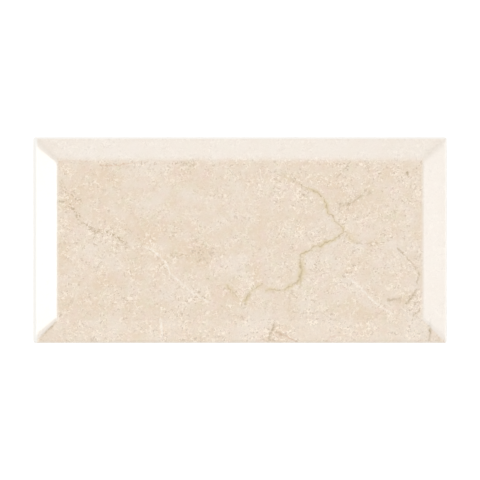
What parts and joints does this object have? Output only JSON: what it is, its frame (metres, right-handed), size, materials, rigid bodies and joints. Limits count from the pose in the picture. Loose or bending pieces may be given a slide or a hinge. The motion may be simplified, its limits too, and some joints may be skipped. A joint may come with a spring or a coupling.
{
  "type": "bevelled subway wall tile",
  "caption": "Rectangular glazed ceramic wall tile with a raised flat field, four mitred bevels and a keyed back, bonded to a wall by adhesive.",
  "frame": {"origin": "centre of the back, on the plane of the keying ribs that the tile lies on", "axes": "+X along the length, +Y along the width towards the picture's upper edge, +Z out of the glazed face"},
  "size_m": [0.199, 0.099, 0.0075],
  "materials": {
    "glazed_tile": "gloss cream marble-look glaze over a pale unglazed body"
  },
  "bodies": {
    "root": {"wall_tile": "glazed_tile"}
  },
  "joints": []
}
